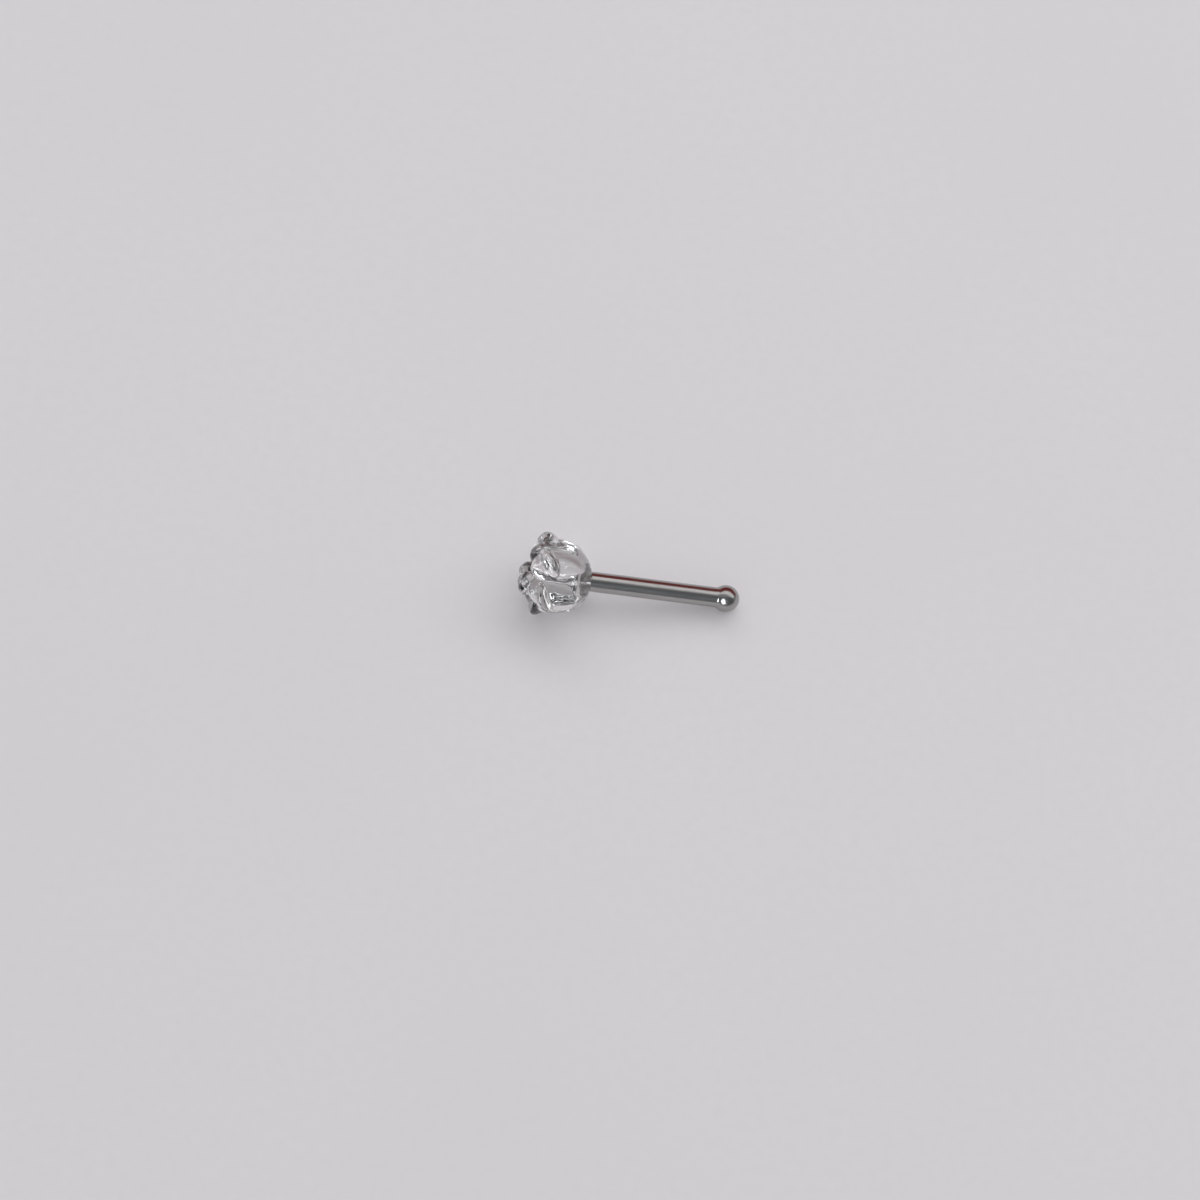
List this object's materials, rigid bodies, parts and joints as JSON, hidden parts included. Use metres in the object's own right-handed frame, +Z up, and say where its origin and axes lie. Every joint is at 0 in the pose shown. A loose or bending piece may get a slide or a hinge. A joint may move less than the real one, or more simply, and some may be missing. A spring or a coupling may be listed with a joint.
{
  "type": "nose stud with a clear crystal flower",
  "caption": "Straight ball-end nose stud with a moulded clear crystal flower, lying on its side as it rests.",
  "frame": {"origin": "middle of the bounding box's base, on the surface that the stud lies on", "axes": "+Z up; +X along the post towards the ball end; the flower's face looks towards -X; +Y across"},
  "size_m": [0.0088, 0.0034, 0.0033],
  "materials": {
    "polished_steel": "mirror-polished surgical steel with faint drawing marks along the shaft",
    "clear_crystal": "clear colourless moulded crystal, fire-polished"
  },
  "bodies": {
    "root": {"ball_end_post": "polished_steel", "crystal_flower": "clear_crystal"}
  },
  "joints": []
}
